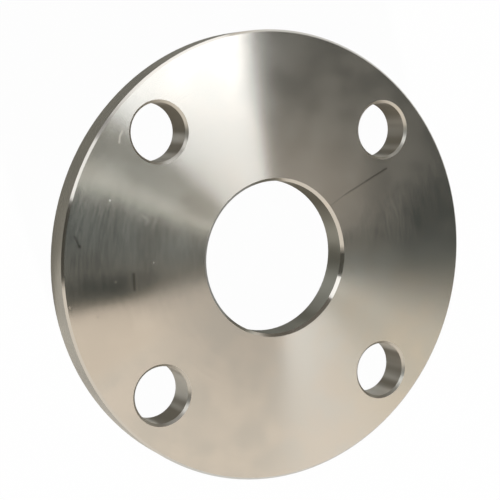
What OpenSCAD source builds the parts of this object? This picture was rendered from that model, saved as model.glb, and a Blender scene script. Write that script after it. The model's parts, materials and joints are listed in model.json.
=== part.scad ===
// Plate slip-on pipe flange: a turned disc that slips over the pipe by its plain bore
// and bolts to its mate through a ring of drilled holes.
// It lies on its back face, with the gasket face up and the bore along the Z axis.

/* [Plate] */
// Thickness from the back face to the gasket face
plate_t = 11.1; // [6:0.1:30]
// Chamfer around the rim at the gasket face
rim_face_chamfer = 0.75; // [0.2:0.05:2]
// Chamfer around the rim at the back face
rim_back_chamfer = 0.75; // [0.2:0.05:2]

/* [Bore] */
// Outside diameter of the pipe that slips through
pipe_d = 50.8; // [20:0.1:88]
// Slip clearance between pipe and bore, on the diameter
pipe_clearance = 1.2; // [0.2:0.1:3]
// Lead-in chamfer of the bore at the gasket face
bore_face_chamfer = 1.0; // [0.2:0.05:3]
// Weld chamfer of the bore at the back face
bore_back_chamfer = 2.0; // [0.2:0.05:5]

/* [Bolting] */
// Number of bolt holes, evenly spaced
bolt_count = 4; // [4:4:12]
// Diameter of the circle through the hole centres
bolt_circle_d = 120.65; // [95:0.05:220]
// Distance from the hole centres out to the rim
edge_distance = 15.875; // [12.5:0.005:40]
// Diameter of the bolts
bolt_d = 15.875; // [6:0.005:22]
// Clearance between bolt and hole, on the diameter
bolt_clearance = 3.175; // [0.5:0.005:5]
// Chamfer of each hole at the gasket face
hole_face_chamfer = 0.85; // [0.2:0.05:2.5]
// Deburred edge of each hole at the back face
hole_back_chamfer = 0.4; // [0.2:0.05:2.5]

/* [Hidden] */
$fn = 144;
steel_colour = [0.71, 0.69, 0.65];
plate_r = bolt_circle_d / 2 + edge_distance;
bore_r = (pipe_d + pipe_clearance) / 2;
hole_r = (bolt_d + bolt_clearance) / 2;
hole_pitch = 360 / bolt_count;
// How far the drill passes each face, so that no skin is left
drill_past = 1;

// Half section of the disc, with its four chamfered edges
module disc_section() {
    polygon([
        [bore_r + bore_back_chamfer, 0],
        [plate_r - rim_back_chamfer, 0],
        [plate_r, rim_back_chamfer],
        [plate_r, plate_t - rim_face_chamfer],
        [plate_r - rim_face_chamfer, plate_t],
        [bore_r + bore_face_chamfer, plate_t],
        [bore_r, plate_t - bore_face_chamfer],
        [bore_r, bore_back_chamfer]
    ]);
}

// Half section of a drill that also cuts the 45 degree chamfers at both faces
module drill_section() {
    polygon([
        [0, -drill_past],
        [hole_r + hole_back_chamfer + drill_past, -drill_past],
        [hole_r, hole_back_chamfer],
        [hole_r, plate_t - hole_face_chamfer],
        [hole_r + hole_face_chamfer + drill_past, plate_t + drill_past],
        [0, plate_t + drill_past]
    ]);
}

// The bolt holes straddle the X and Y centre lines
module bolt_holes() {
    for (i = [0 : bolt_count - 1])
        rotate([0, 0, (i + 0.5) * hole_pitch])
            translate([bolt_circle_d / 2, 0, 0])
                rotate_extrude() drill_section();
}

module flange() {
    color(steel_colour)
        difference() {
            rotate_extrude() disc_section();
            bolt_holes();
        }
}

flange();
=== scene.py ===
import json
import math

import bpy
from mathutils import Matrix, Vector


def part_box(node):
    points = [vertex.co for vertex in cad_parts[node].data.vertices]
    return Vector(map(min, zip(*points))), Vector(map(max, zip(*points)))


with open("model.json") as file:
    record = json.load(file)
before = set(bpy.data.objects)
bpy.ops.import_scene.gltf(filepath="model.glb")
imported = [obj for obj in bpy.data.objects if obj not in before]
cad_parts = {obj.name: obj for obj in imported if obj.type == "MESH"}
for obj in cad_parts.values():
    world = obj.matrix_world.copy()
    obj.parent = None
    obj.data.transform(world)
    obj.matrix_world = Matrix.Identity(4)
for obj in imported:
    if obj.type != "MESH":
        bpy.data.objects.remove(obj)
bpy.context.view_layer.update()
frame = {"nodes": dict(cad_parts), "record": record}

# Sizes of the flange, in metres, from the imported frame
MOUNTS = {mount["name"]: mount for mount in frame["record"]["mounts"]}
FLANGE = frame["nodes"]["flange"]
PLATE_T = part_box("flange")[1].z
BOLT_R = MOUNTS["bolt_circle"]["dims"]["pcd_mm"] / 2000
HOLE_R = MOUNTS["bolt_circle"]["dims"]["hole_r_mm"] / 1000

# How the flange's polygons are told apart: the Z part of the normal is over FACE_LEAN on a flat face and
# under WALL_LEAN on a wall, and a bolt hole's polygons lie within HOLE_REACH hole radii of the bolt circle
FACE_LEAN = 0.99
WALL_LEAN = 0.1
HOLE_REACH = 1.3

# Camera: where it looks, from where, its lens, and the nearest that it shows
AIM = Vector((-0.0102, 0.0032, PLATE_T))
VIEW_DISTANCE = 0.4161
VIEW_AZIMUTH = math.radians(-102.6)
VIEW_ELEVATION = math.radians(61.3)
VIEW_ROLL = math.radians(0.3)
LENS_MM = 89.8
NEAREST_SEEN = 0.01

# Colours of the room, and its zones: from where each begins to where it is full, along an axis of the
# direction looked in. Each edge of the dark zone is tilted by a share of the other axis.
ROOM_COLOUR = (0.77, 0.885, 0.90)
WARM_COLOUR = (0.889, 0.770, 0.581)
PALE_COLOUR = (0.87, 0.81, 0.73)
DARK_COLOUR = (0.042, 0.052, 0.051)
DIM_COLOUR = (0.15, 0.135, 0.115)
SHADE_COLOUR = (0.075, 0.072, 0.060)
CEILING_ZONE = (0.64, 0.72)
WARM_ZONE = (0.0, -0.2)
DARK_ZONE_X = (-0.107, 0.061)
DARK_TILT_X = -0.441
DARK_ZONE_Y = (-0.30, -0.17)
DARK_TILT_Y = -0.138
BACK_ZONE_Y = (-0.24, -0.16)
BACK_ZONE_Z = (0.04, 0.10)
DIM_ZONE = (-0.8, -0.6)
UNDER_ZONE = (-0.3, -0.8)

# Panels: a panel's corners are in units of its distance, and ceiling panels lie one unit above the part.
# MIRROR_POINT is the point there that the middle of the face mirrors to the camera. The face draws its
# gloss out along each radius, so a panel's edge on a line from this point shows on it as a radius.
# The veil hangs a little higher than the strip, which hides a part of it.
MIRROR_POINT = (0.561, -0.128)
PANEL_DISTANCE = 4.0
VEIL_DISTANCE = 4.2
WHITE = (1.0, 1.0, 1.0)
VEIL_COLOUR = (1.0, 0.97, 0.87)
FILL_COLOUR = (1.0, 0.887, 0.762)
KEY_RADIANCE = 2.9
STRIP_RADIANCE = 5.2
VEIL_RADIANCE = 1.25
FILL_RADIANCE = 0.97
SIDE_RADIANCE = 1.4
BACK_RADIANCE = 1.4
LINK_RADIANCE = 0.5

# Two edges of a ceiling panel: the angle of each in degrees, and its start and end from the mirror point.
# Four panels have an edge at SHARED_ANGLE.
SHARED_ANGLE = 141.3
KEY_EDGES = ((97.85, 0.153, 0.55), (SHARED_ANGLE, 0.273, 0.55))
STRIP_EDGES = ((153.9, 0.43, 0.65), (159.1, 0.43, 0.65))
VEIL_EDGES = ((SHARED_ANGLE, 0.35, 0.65), (163.0, 0.43, 0.65))
SIDE_EDGES = ((SHARED_ANGLE, 1.7, 3.9), (161.8, 1.7, 3.9))
LINK_EDGES = ((131.0, 3.4, 5.0), (SHARED_ANGLE, 3.0, 4.6))

# Corners of the fill panel, with its left edge as angles and distances from the mirror point,
# and of the back panel, which stands upright
FILL_RIGHT = [(0.66, -0.143, 1.0), (0.50, -0.145, 1.0)]
FILL_LEFT = [(197.0, 0.125), (190.3, 0.19), (189.4, 0.45), (188.7, 1.0)]
FILL_FRONT = [(-1.26, -2.5, 1.0), (1.53, -2.5, 1.0)]
BACK_CORNERS = [(0.24, 1.0, 0.02), (-0.75, 1.0, 0.02), (-0.75, 1.0, 0.36), (0.24, 1.0, 0.20)]

# Floor, a hair below the part, and the low sun that lights it. The white shares are how much of it is
# plain white to the camera and to the steel.
FLOOR_COLOUR = (0.7, 0.7, 0.7)
FLOOR_SIZE = 8.0
FLOOR_GAP = 0.0001
FLOOR_SUN_FROM = Vector((0.46, -1.43, 0.21))
FLOOR_SUN_STRENGTH = 17.0
FLOOR_SUN_ANGLE = math.radians(4.0)
WHITE_SHARE_CAMERA = 0.98
WHITE_SHARE_STEEL = 0.12

# Faced steel, with lengths in metres: rings, scuffs and smears, and duller within DULL_R of the axis than
# past BRIGHT_R. More breaks make rings or scuffs shorter, and SCUFF_DEPTH is against the depth of the
# rings. NOISE_RANGE is the part of a noise that is used.
STEEL_COLOUR = (0.71, 0.69, 0.65)
RING_COLOUR = (0.697, 0.679, 0.642)
SMEAR_COLOUR = (0.66, 0.67, 0.65)
MARK_COLOUR = (0.16, 0.15, 0.13)
NOISE_RANGE = (0.35, 0.65)
RING_PITCH = 0.0005
RING_BREAKS = 2.0
SCUFF_PITCH = 0.0009
SCUFF_BREAKS = 8.0
SCUFF_DEPTH = 2.0
SCUFF_ROUGHNESS = 0.011
SMEARS_PER_METRE = 70.0
SMEAR_DETAIL = 4.0
SMEAR_SHARE = 0.5
SMEAR_ROUGHNESS = (-0.005, 0.025)
RIDGE_HEIGHT = 0.0000015
DULL_R = 0.030
BRIGHT_R = 0.060
BORE_ROUGHNESS = 0.20
RIM_ROUGHNESS = 0.165
MARK_ROUGHNESS = 0.4

# Sides of the faces, by the cosine of the angle to the middle of each: where it begins and is full.
# Scuffs lie toward +X and -X. One side is smoother, with weaker scuffs, and one is duller near the bore;
# each has the angle of its middle in degrees and what it adds to the roughness.
SCUFFED_SIDES = (0.85, 0.99)
SMOOTH_ANGLE = 196.0
SMOOTH_SIDE = (0.96, 0.99)
SMOOTH_ROUGHNESS = -0.075
SMOOTH_COLOUR = (0.615, 0.59, 0.545)
SCUFFS_LOST = 0.7
DULL_ANGLE = -6.0
DULL_SIDE = (0.96, 0.995)
DULL_ROUGHNESS = 0.035

# Turned walls and chamfers: noise cells of the fine rings per metre along X, Y and Z, the spread of
# roughness over them, and for the walls their anisotropy and depth
WALL_RINGS = (60.0, 60.0, 2500.0)
WALL_SPREAD = 0.08
WALL_ANISOTROPY = 0.9
WALL_RING_HEIGHT = 0.000004
CHAMFER_RINGS = (60.0, 60.0, 3000.0)
CHAMFER_SPREAD = 0.06

# Marks on the gasket face: where each starts and ends and its width, in millimetres,
# and its strength from 0 to 1
DARK_MARKS = [
    ((21.3, 16.9), (27.5, 20.6), 0.3, 0.25),
    ((27.5, 20.6), (36.0, 24.9), 0.5, 0.5),
    ((36.0, 24.9), (44.3, 29.1), 0.6, 0.65),
    ((-52.2, -2.3), (-52.0, -7.1), 0.8, 0.5),
    ((-71.8, 10.7), (-70.3, 7.6), 0.6, 0.35),
    ((-70.4, 7.7), (-70.2, 7.4), 0.9, 0.6),
]
LIGHT_MARKS = [
    ((-48.8, 16.1), (-47.1, 15.0), 0.4, 0.15),
    ((-47.1, 15.0), (-47.7, 13.2), 0.4, 0.15),
    ((-55.4, 42.9), (-56.2, 41.5), 0.6, 0.2),
    ((-56.2, 41.5), (-56.4, 39.6), 0.6, 0.25),
    ((-59.9, 21.6), (-59.8, 21.3), 0.4, 0.3),
    ((-45.3, 1.1), (-45.2, 0.9), 0.4, 0.3),
    ((-58.4, -4.3), (-58.3, -4.5), 0.4, 0.3),
    ((-73.9, -11.3), (-73.8, -11.6), 0.6, 0.5),
    ((-64.7, -15.1), (-64.6, -15.3), 0.4, 0.3),
]


class Graph:
    """Adds nodes to one node tree; a call's inputs are values or the sockets of other nodes."""

    def __init__(self, tree):
        self.tree = tree

    def node(self, kind, inputs=(), **settings):
        made = self.tree.nodes.new(kind)
        for name, value in settings.items():
            setattr(made, name, value)
        for name, value in dict(inputs).items():
            self.put(made.inputs[name], value)
        return made

    def put(self, socket, value):
        """Links a socket to another one, or sets its value; a colour is given without its alpha."""
        if isinstance(value, bpy.types.NodeSocket):
            self.tree.links.new(value, socket)
        elif isinstance(value, tuple) and len(value) == 3 and socket.type == "RGBA":
            socket.default_value = value + (1.0,)
        else:
            socket.default_value = value

    def math(self, operation, first, second=0.0, third=0.0):
        made = self.node("ShaderNodeMath", {0: first, 1: second, 2: third}, operation=operation)
        return made.outputs[0]

    def ramp(self, value, low, high, to_low=0.0, to_high=1.0):
        """Smooth step of a value from to_low, at low, to to_high, at high; low may be the larger one."""
        inputs = {"Value": value, "From Min": low, "From Max": high, "To Min": to_low, "To Max": to_high}
        return self.node("ShaderNodeMapRange", inputs, interpolation_type="SMOOTHSTEP").outputs["Result"]

    def vector(self, operation, first, second=(0.0, 0.0, 0.0), scale=1.0):
        """Vector Math; the length and the dot product come out as a number."""
        made = self.node("ShaderNodeVectorMath", {0: first, 1: second, 3: scale}, operation=operation)
        return made.outputs["Value" if operation in ("LENGTH", "DOT_PRODUCT") else "Vector"]

    def noise(self, place, scale=1.0, detail=2.0):
        inputs = {"Vector": place, "Scale": scale, "Detail": detail}
        return self.node("ShaderNodeTexNoise", inputs).outputs[0]

    def mix(self, share, first, second):
        """Blend of two colours; a Mix node has its colours at inputs 6 and 7 and at output 2."""
        made = self.node("ShaderNodeMix", {0: share, 6: first, 7: second}, data_type="RGBA")
        return made.outputs[2]


def make_camera():
    """A camera that looks at AIM with the part's +Y up, turned by VIEW_ROLL."""
    camera = bpy.data.objects.new("camera", bpy.data.cameras.new("camera"))
    bpy.context.scene.collection.objects.link(camera)
    back = Vector((
        math.sin(VIEW_AZIMUTH) * math.cos(VIEW_ELEVATION),
        -math.cos(VIEW_AZIMUTH) * math.cos(VIEW_ELEVATION),
        math.sin(VIEW_ELEVATION),
    ))
    right = Vector((0, 1, 0)).cross(back).normalized()
    upright = Matrix((right, back.cross(right), back)).transposed()
    turned = upright @ Matrix.Rotation(-VIEW_ROLL, 3, "Z")
    camera.matrix_world = Matrix.Translation(AIM + back * VIEW_DISTANCE) @ turned.to_4x4()
    camera.data.lens = LENS_MM
    camera.data.clip_start = NEAREST_SEEN
    bpy.context.scene.camera = camera


def make_world():
    """The room that the steel mirrors: a ceiling with warm and dark zones, a pale front and a dim back."""
    world = bpy.data.worlds.new("studio")
    bpy.context.scene.world = world
    world.use_nodes = True
    world.node_tree.nodes.clear()
    graph = Graph(world.node_tree)
    direction = graph.node("ShaderNodeTexCoord").outputs["Generated"]
    axes = graph.node("ShaderNodeSeparateXYZ", {"Vector": direction}).outputs

    tilted_x = graph.math("MULTIPLY_ADD", axes["Y"], DARK_TILT_X, axes["X"])
    tilted_y = graph.math("MULTIPLY_ADD", axes["X"], DARK_TILT_Y, axes["Y"])
    dark = graph.math("MULTIPLY", graph.ramp(tilted_x, *DARK_ZONE_X), graph.ramp(tilted_y, *DARK_ZONE_Y))
    high_colour = graph.mix(graph.ramp(axes["Y"], *WARM_ZONE), ROOM_COLOUR, WARM_COLOUR)
    high_colour = graph.mix(dark, high_colour, DARK_COLOUR)

    behind = graph.ramp(axes["Y"], *BACK_ZONE_Y)
    behind = graph.math("MULTIPLY", behind, graph.ramp(axes["Z"], *BACK_ZONE_Z))
    low_colour = graph.mix(graph.ramp(axes["X"], *DIM_ZONE), SHADE_COLOUR, DIM_COLOUR)
    low_colour = graph.mix(behind, PALE_COLOUR, low_colour)
    low_colour = graph.mix(graph.ramp(axes["Z"], *UNDER_ZONE), low_colour, DIM_COLOUR)

    colour = graph.mix(graph.ramp(axes["Z"], *CEILING_ZONE), low_colour, high_colour)
    background = graph.node("ShaderNodeBackground", {"Color": colour, "Strength": 1.0})
    output = graph.node("ShaderNodeOutputWorld")
    graph.put(output.inputs["Surface"], background.outputs[0])


def from_mirror_point(angle, distance):
    """The corner of a ceiling panel at this angle, in degrees, and distance from the mirror point."""
    turn = math.radians(angle)
    return (MIRROR_POINT[0] + distance * math.cos(turn), MIRROR_POINT[1] + distance * math.sin(turn), 1.0)


def between(first_edge, last_edge):
    """The corners of a ceiling panel between two edges on lines from the mirror point."""
    first_angle, first_start, first_end = first_edge
    last_angle, last_start, last_end = last_edge
    return [
        from_mirror_point(first_angle, first_start),
        from_mirror_point(first_angle, first_end),
        from_mirror_point(last_angle, last_end),
        from_mirror_point(last_angle, last_start),
    ]


def make_panel(name, corners, colour, radiance, distance=PANEL_DISTANCE):
    """A glowing panel that the camera does not see; its corners are in units of its distance."""
    mesh = bpy.data.meshes.new(name)
    points = [Vector(corner) * distance for corner in corners]
    mesh.from_pydata(points, [], [range(len(points))])
    panel = bpy.data.objects.new(name, mesh)
    bpy.context.scene.collection.objects.link(panel)
    panel.visible_camera = False
    material = bpy.data.materials.new(name)
    material.use_nodes = True
    material.node_tree.nodes.clear()
    graph = Graph(material.node_tree)
    glow = graph.node("ShaderNodeEmission", {"Color": colour, "Strength": radiance})
    output = graph.node("ShaderNodeOutputMaterial")
    graph.put(output.inputs["Surface"], glow.outputs[0])
    mesh.materials.append(material)
    return panel


def make_panels():
    """The panels, each for one bright part of the flange as the camera sees it."""
    fill_left = [from_mirror_point(angle, distance) for angle, distance in FILL_LEFT]
    fill_corners = FILL_RIGHT + fill_left + FILL_FRONT
    return [
        # The white wedge at the upper left of the gasket face
        make_panel("key_panel", between(*KEY_EDGES), WHITE, KEY_RADIANCE),
        # The bright line at the left of the face, and the pale wedge around it
        make_panel("strip_panel", between(*STRIP_EDGES), VEIL_COLOUR, STRIP_RADIANCE),
        make_panel("veil_panel", between(*VEIL_EDGES), VEIL_COLOUR, VEIL_RADIANCE, VEIL_DISTANCE),
        # The tan lower half of the face
        make_panel("fill_panel", fill_corners, FILL_COLOUR, FILL_RADIANCE),
        # The rim's chamfer on the left
        make_panel("side_panel", between(*SIDE_EDGES), WHITE, SIDE_RADIANCE),
        # The rim's chamfer at the upper left, glints at the bolt holes, and the bore's lower right
        make_panel("back_panel", BACK_CORNERS, WHITE, BACK_RADIANCE),
        # The piece of the rim's chamfer between these two
        make_panel("link_panel", between(*LINK_EDGES), WHITE, LINK_RADIANCE),
    ]


def back_face_sizes():
    """The back face's radius at the bore and at the rim, and its distance from the axis of a bolt hole."""
    mesh = FLANGE.data
    faces = [face for face in mesh.polygons if face.normal.z < -FACE_LEAN]
    corners = [mesh.vertices[index].co.xy for face in faces for index in face.vertices]
    hole_axis = Vector((BOLT_R, BOLT_R)) * math.sqrt(0.5)
    from_axis = [corner.length for corner in corners]
    from_hole = [(Vector((abs(corner.x), abs(corner.y))) - hole_axis).length for corner in corners]
    return min(from_axis), max(from_axis), min(from_hole), hole_axis


def under_part(graph):
    """1 where the back face lies on the floor, and 0 beside the part and in its openings."""
    bore_edge, rim_edge, hole_edge, hole_axis = back_face_sizes()
    place = graph.node("ShaderNodeTexCoord").outputs["Object"]
    radius = graph.vector("LENGTH", place)
    past_bore = graph.math("GREATER_THAN", radius, bore_edge)
    within_rim = graph.math("LESS_THAN", radius, rim_edge)
    from_hole = graph.vector("SUBTRACT", graph.vector("ABSOLUTE", place), tuple(hole_axis) + (0.0,))
    past_hole = graph.math("GREATER_THAN", graph.vector("LENGTH", from_hole), hole_edge)
    return graph.math("MULTIPLY", graph.math("MULTIPLY", past_bore, within_rim), past_hole)


def make_floor():
    """A floor that is white to the camera, keeps the part's shadow, and is open under the part."""
    bpy.ops.mesh.primitive_plane_add(size=FLOOR_SIZE, location=(0.0, 0.0, -FLOOR_GAP))
    floor = bpy.context.object
    floor.name = "floor"
    material = bpy.data.materials.new("floor")
    material.use_nodes = True
    material.node_tree.nodes.clear()
    graph = Graph(material.node_tree)
    rays = graph.node("ShaderNodeLightPath").outputs
    steel_rays = graph.math("MAXIMUM", rays["Is Glossy Ray"], rays["Is Transmission Ray"])
    share = graph.math("MULTIPLY", rays["Is Camera Ray"], WHITE_SHARE_CAMERA)
    share = graph.math("MULTIPLY_ADD", steel_rays, WHITE_SHARE_STEEL, share)
    lit = graph.node("ShaderNodeBsdfDiffuse", {"Color": FLOOR_COLOUR})
    white = graph.node("ShaderNodeEmission", {"Strength": 1.0})
    both = graph.node("ShaderNodeMixShader", {0: share, 1: lit.outputs[0], 2: white.outputs[0]})
    clear = graph.node("ShaderNodeBsdfTransparent")
    under = under_part(graph)
    opened = graph.node("ShaderNodeMixShader", {0: under, 1: both.outputs[0], 2: clear.outputs[0]})
    output = graph.node("ShaderNodeOutputMaterial")
    graph.put(output.inputs["Surface"], opened.outputs[0])
    floor.data.materials.append(material)
    return floor


def make_floor_sun():
    """A low sun in front, for the floor alone: the rim mirrors the lit floor and the shadow on it."""
    sun = bpy.data.objects.new("floor_sun", bpy.data.lights.new("floor_sun", "SUN"))
    bpy.context.scene.collection.objects.link(sun)
    sun.data.energy = FLOOR_SUN_STRENGTH
    sun.data.angle = FLOOR_SUN_ANGLE
    sun.rotation_euler = FLOOR_SUN_FROM.to_track_quat("Z", "Y").to_euler()
    return sun


def light_only(lamp, lit):
    """Keeps a lamp's light on one object."""
    receivers = bpy.data.collections.new(lamp.name + "_receivers")
    receivers.objects.link(lit)
    lamp.light_linking.receiver_collection = receivers


def new_steel(name):
    """A metal material: its node graph, its shader's inputs and the place on the part, in metres."""
    material = bpy.data.materials.new(name)
    material.use_nodes = True
    graph = Graph(material.node_tree)
    shader = material.node_tree.nodes["Principled BSDF"]
    shader.inputs["Metallic"].default_value = 1.0
    place = graph.node("ShaderNodeTexCoord").outputs["Object"]
    return material, graph, shader.inputs, place


def mark(graph, flat_place, start, end, width, strength):
    """Strength along a straight mark, and 0 beside it; start, end and width are in millimetres."""
    first = Vector(start + (0.0,)) / 1000
    along = Vector(end + (0.0,)) / 1000 - first
    offset = graph.vector("SUBTRACT", flat_place, tuple(first))
    travel = graph.vector("DOT_PRODUCT", offset, tuple(along / along.length_squared))
    travel = graph.math("MINIMUM", graph.math("MAXIMUM", travel, 0.0), 1.0)
    nearest = graph.vector("SCALE", tuple(along), scale=travel)
    distance = graph.vector("LENGTH", graph.vector("SUBTRACT", offset, nearest))
    return graph.ramp(distance, 0.0, width / 1000, strength, 0.0)


def all_marks(graph, flat_place, marks):
    """The strongest of these marks at each place."""
    strongest = 0.0
    for one in marks:
        strongest = graph.math("MAXIMUM", strongest, mark(graph, flat_place, *one))
    return strongest


def streaks(graph, radius, around, pitch, breaks):
    """Noise with this pitch across the tool marks, in metres, drawn out along them."""
    across = graph.node("ShaderNodeCombineXYZ", {"Z": graph.math("DIVIDE", radius, pitch)}).outputs[0]
    return graph.noise(graph.vector("ADD", graph.vector("SCALE", around, scale=breaks), across))


def side(graph, around, angle, start, full):
    """1 toward this angle, in degrees, and 0 away from it; start and full are cosines."""
    turn = math.radians(angle)
    cosine = graph.vector("DOT_PRODUCT", around, (math.cos(turn), math.sin(turn), 0.0))
    return graph.ramp(cosine, start, full)


def make_faced_steel():
    """Both flat faces: tool marks around the bore, duller near it, and wear marks on the gasket face."""
    material, graph, shader, place = new_steel("faced_steel")
    flat_place = graph.vector("MULTIPLY", place, (1.0, 1.0, 0.0))
    radius = graph.vector("LENGTH", flat_place)
    around = graph.vector("NORMALIZE", flat_place)
    height = graph.node("ShaderNodeSeparateXYZ", {"Vector": place}).outputs["Z"]
    gasket_face = graph.ramp(height, PLATE_T * 0.4, PLATE_T * 0.6)

    rings = streaks(graph, radius, around, RING_PITCH, RING_BREAKS)
    scuffs = streaks(graph, radius, around, SCUFF_PITCH, SCUFF_BREAKS)
    smears = graph.noise(place, SMEARS_PER_METRE, SMEAR_DETAIL)
    dark = graph.math("MULTIPLY", all_marks(graph, flat_place, DARK_MARKS), gasket_face)
    light = graph.math("MULTIPLY", all_marks(graph, flat_place, LIGHT_MARKS), gasket_face)
    sideways = graph.node("ShaderNodeSeparateXYZ", {"Vector": around}).outputs["X"]
    scuffed = graph.ramp(graph.math("ABSOLUTE", sideways), *SCUFFED_SIDES)
    smooth = side(graph, around, SMOOTH_ANGLE, *SMOOTH_SIDE)
    smooth = graph.math("MULTIPLY", smooth, graph.ramp(radius, DULL_R, BRIGHT_R))
    dull = side(graph, around, DULL_ANGLE, *DULL_SIDE)
    dull = graph.math("MULTIPLY", dull, graph.ramp(radius, BRIGHT_R, DULL_R))

    roughness = graph.ramp(radius, DULL_R, BRIGHT_R, BORE_ROUGHNESS, RIM_ROUGHNESS)
    roughness = graph.math("MULTIPLY_ADD", smooth, SMOOTH_ROUGHNESS, roughness)
    roughness = graph.math("MULTIPLY_ADD", dull, DULL_ROUGHNESS, roughness)
    scuffing = graph.ramp(scuffs, *NOISE_RANGE, -SCUFF_ROUGHNESS, SCUFF_ROUGHNESS)
    scuffing = graph.math("MULTIPLY", scuffing, graph.math("MULTIPLY_ADD", smooth, -SCUFFS_LOST, 1.0))
    roughness = graph.math("MULTIPLY_ADD", scuffing, scuffed, roughness)
    roughness = graph.math("ADD", roughness, graph.ramp(smears, *NOISE_RANGE, *SMEAR_ROUGHNESS))
    roughness = graph.math("MULTIPLY_ADD", light, MARK_ROUGHNESS, roughness)

    colour = graph.mix(graph.ramp(rings, *NOISE_RANGE), STEEL_COLOUR, RING_COLOUR)
    colour = graph.mix(graph.ramp(smears, *NOISE_RANGE, 0.0, SMEAR_SHARE), colour, SMEAR_COLOUR)
    colour = graph.mix(smooth, colour, SMOOTH_COLOUR)
    colour = graph.mix(dark, colour, MARK_COLOUR)

    graph.put(shader["Base Color"], colour)
    graph.put(shader["Roughness"], roughness)
    graph.put(shader["Anisotropic"], 1.0)
    graph.put(shader["Tangent"], flat_place)
    ridges = graph.math("MULTIPLY_ADD", scuffs, SCUFF_DEPTH, rings)
    bump = graph.node("ShaderNodeBump", {"Height": ridges, "Strength": 1.0, "Distance": RIDGE_HEIGHT})
    graph.put(shader["Normal"], bump.outputs[0])
    return material


def put_turned_gloss(graph, shader, place, ring_scales, roughness, spread, anisotropy):
    """Gives a shader the gloss of a surface turned around Z; returns the noise of its fine rings."""
    rings = graph.noise(graph.vector("MULTIPLY", place, ring_scales))
    along = graph.node("ShaderNodeCombineXYZ", {"Z": 1.0}).outputs[0]
    graph.put(shader["Roughness"], graph.math("MULTIPLY_ADD", rings, spread, roughness - spread / 2))
    graph.put(shader["Anisotropic"], anisotropy)
    graph.put(shader["Tangent"], along)
    return rings


def make_wall_steel(name, bands_per_metre, band_start, band_blur, dark_colour, light_colour, roughness):
    """A wall around an axis along Z: tool marks around it, and paler and darker bands along it, partly
    tool streaks and partly painted reflection and painted shade.
    """
    material, graph, shader, place = new_steel(name)
    flat_place = graph.vector("MULTIPLY", place, (1.0, 1.0, 0.0))
    band_place = graph.vector("ADD", graph.vector("SCALE", flat_place, scale=bands_per_metre), band_start)
    # Painted light: the paler bands stand in for reflections in the wall, and the darker colour for the
    # shade on it
    painted_bands = graph.ramp(graph.noise(band_place, detail=1.0), 0.5 - band_blur, 0.5 + band_blur)
    graph.put(shader["Base Color"], graph.mix(painted_bands, dark_colour, light_colour))
    rings = put_turned_gloss(graph, shader, place, WALL_RINGS, roughness, WALL_SPREAD, WALL_ANISOTROPY)
    bump = graph.node("ShaderNodeBump", {"Height": rings, "Strength": 1.0, "Distance": WALL_RING_HEIGHT})
    graph.put(shader["Normal"], bump.outputs[0])
    return material


def make_rim_steel():
    """The rim's turned wall, with hardly any bands, in steel darker than the faces' steel: painted shade.
    """
    return make_wall_steel(
        "rim_steel",
        bands_per_metre=50.0,
        band_start=(0.0, 0.0, 0.0),
        band_blur=0.15,
        # Both colours are darker than the faces' steel: painted shade on the rim
        dark_colour=(0.40, 0.365, 0.305),
        light_colour=(0.47, 0.43, 0.36),
        roughness=0.28,
    )


def make_bored_steel():
    """The bore's wall, with wide soft bands, partly tool streaks and partly painted reflection, on steel
    darkened with painted shade.
    """
    return make_wall_steel(
        "bored_steel",
        bands_per_metre=60.0,
        band_start=(7.0, 22.0, 22.3),
        band_blur=0.15,
        # Painted shade in the dark colour and painted reflection in the pale one
        dark_colour=(0.26, 0.24, 0.195),
        light_colour=(0.62, 0.60, 0.53),
        roughness=0.42,
    )


def make_drilled_steel():
    """The walls of the bolt holes, with narrow bands, partly drill streaks and partly painted reflection,
    on steel darkened with painted shade.
    """
    return make_wall_steel(
        "drilled_steel",
        bands_per_metre=140.0,
        band_start=(5.7, 9.9, 2.3),
        band_blur=0.12,
        # Painted shade in the dark colour and painted reflection in the near-white one
        dark_colour=(0.36, 0.32, 0.262),
        light_colour=(1.0, 0.955, 0.885),
        roughness=0.36,
    )


def make_chamfer_steel(name, dark_colour, roughness, anisotropy):
    """A turned cone with fine marks around it."""
    material, graph, shader, place = new_steel(name)
    rings = put_turned_gloss(graph, shader, place, CHAMFER_RINGS, roughness, CHAMFER_SPREAD, anisotropy)
    graph.put(shader["Base Color"], graph.mix(rings, dark_colour, STEEL_COLOUR))
    return material


def make_edge_steel():
    """The bright chamfers of the rim and the bore."""
    colour = (0.68, 0.65, 0.60)
    return make_chamfer_steel("edge_steel", colour, roughness=0.13, anisotropy=0.5)


def make_deburred_steel():
    """The softer chamfers of the bolt holes."""
    colour = (0.62, 0.59, 0.53)
    return make_chamfer_steel("deburred_steel", colour, roughness=0.32, anisotropy=0.0)


def dress_flange():
    """Gives each polygon of the CAD solid the finish of its surface."""
    mesh = FLANGE.data
    mesh.materials.clear()
    makers = [
        make_faced_steel, make_edge_steel, make_deburred_steel,
        make_rim_steel, make_bored_steel, make_drilled_steel,
    ]
    for make in makers:
        mesh.materials.append(make())
    faced, edge, deburred, rim, bored, drilled = range(len(makers))
    for polygon in mesh.polygons:
        lean = abs(polygon.normal.z)
        outward = (polygon.center.xy.length - BOLT_R) / HOLE_R
        if lean > FACE_LEAN:
            polygon.material_index = faced
        elif lean > WALL_LEAN:
            polygon.material_index = edge if abs(outward) > HOLE_REACH else deburred
        elif outward > HOLE_REACH:
            polygon.material_index = rim
        elif outward < -HOLE_REACH:
            polygon.material_index = bored
        else:
            polygon.material_index = drilled


make_camera()
make_world()
for panel in make_panels():
    light_only(panel, FLANGE)
light_only(make_floor_sun(), make_floor())
dress_flange()

bpy.context.scene.view_settings.view_transform = "Standard"
